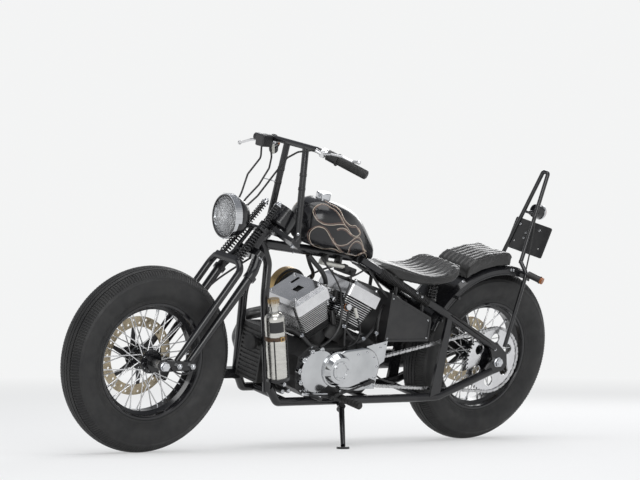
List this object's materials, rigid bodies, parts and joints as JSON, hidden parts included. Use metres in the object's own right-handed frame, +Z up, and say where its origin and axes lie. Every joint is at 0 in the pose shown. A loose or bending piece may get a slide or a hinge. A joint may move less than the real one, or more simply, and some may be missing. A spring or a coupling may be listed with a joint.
{
  "type": "chopper motorcycle",
  "caption": "Long low motorcycle with a raked springer fork, wire wheels, a rigid rear frame, a small tank, a sprung solo seat, a pillion pad and a tall sissy bar, leaning on its side stand.",
  "frame": {"origin": "centre of the bounding box at the ground, with the motorcycle leaning on its side stand", "axes": "+X forward, +Y to the rider's left, +Z up; it leans to its left"},
  "size_m": [2.2827, 0.8108, 1.1665],
  "materials": {
    "tyre": "satin",
    "rim_black": "gloss",
    "disc_steel": "brushed",
    "frame_black": "gloss",
    "chrome": "polished",
    "engine_black": "satin",
    "control_black": "satin",
    "cleaner_bronze": "satin",
    "cable_black": "satin",
    "engine_silver": "satin",
    "steel": "satin",
    "rubber": "matte",
    "leather": "satin",
    "lamp_glass": "clear",
    "plate_paint": "satin",
    "bottle_silver": "satin"
  },
  "bodies": {
    "chassis": {"drive_chain": "steel", "frame_neck": "frame_black", "frame_down_tubes": "frame_black", "frame_lower_rails": "frame_black", "frame_upper_stays": "frame_black", "frame_axle_plates": "frame_black", "frame_braces": "frame_black", "frame_cross_bars": "frame_black", "rear_axle": "chrome", "rear_caliper": "engine_black", "fuel_tank": "frame_black", "fuel_cap": "chrome", "cylinder_front": "engine_black", "cylinder_rear": "engine_black", "head_front": "engine_silver", "head_rear": "engine_silver", "crankcase": "engine_black", "left_engine_cover": "chrome", "right_engine_cover": "chrome", "air_cleaner": "cleaner_bronze", "exhaust_front": "chrome", "exhaust_rear": "chrome", "radiator": "engine_black", "battery_box": "engine_black", "rear_fender": "frame_black", "solo_seat": "leather", "seat_posts": "engine_black", "pillion_pad": "leather", "sissy_bar": "frame_black", "plate_holder": "plate_paint", "tail_lamp": "chrome", "rear_signals": "control_black", "bottle": "bottle_silver", "bottle_cage": "frame_black", "left_foot_control": "control_black", "right_foot_control": "control_black", "stand_bracket": "steel"},
    "fork": {"fork_rear_legs": "frame_black", "fork_front_legs": "frame_black", "fork_rockers": "frame_black", "front_axle": "chrome", "fork_springs": "control_black", "fork_top_tree": "frame_black", "front_caliper": "engine_black", "handlebar": "frame_black", "grips": "rubber", "clutch_control": "control_black", "brake_control": "control_black", "headlamp": "frame_black", "headlamp_glass": "lamp_glass", "gauge": "frame_black", "control_cables": "cable_black"},
    "front_wheel": {"front_tyre": "tyre", "front_wheel": "rim_black", "front_brake_disc": "disc_steel"},
    "rear_wheel": {"rear_tyre": "tyre", "rear_wheel": "rim_black", "rear_brake_disc": "disc_steel", "rear_sprocket": "steel"},
    "side_stand": {"side_stand": "frame_black"}
  },
  "joints": [
    {"name": "steering", "type": "hinge", "parent": "chassis", "child": "fork", "pos_m": [0.37094, -0.00999, 0.77389], "axis": [-0.6168, 0.1906, 0.7637], "range_deg": [-22, 34]},
    {"name": "front_wheel_spin", "type": "hinge", "parent": "fork", "child": "front_wheel", "pos_m": [0.80034, -0.12538, 0.33765], "axis": [0.0826, 0.9805, -0.178], "continuous": true},
    {"name": "rear_wheel_spin", "type": "hinge", "parent": "chassis", "child": "rear_wheel", "pos_m": [-0.7994, -0.11925, 0.3339], "axis": [0.0004, 0.9703, -0.2419], "continuous": true},
    {"name": "side_stand_swing", "type": "hinge", "parent": "chassis", "child": "side_stand", "pos_m": [-0.03912, -0.02357, 0.14836], "axis": [0.1952, 0.6931, 0.6939], "range_deg": [0, 107.3]}
  ]
}
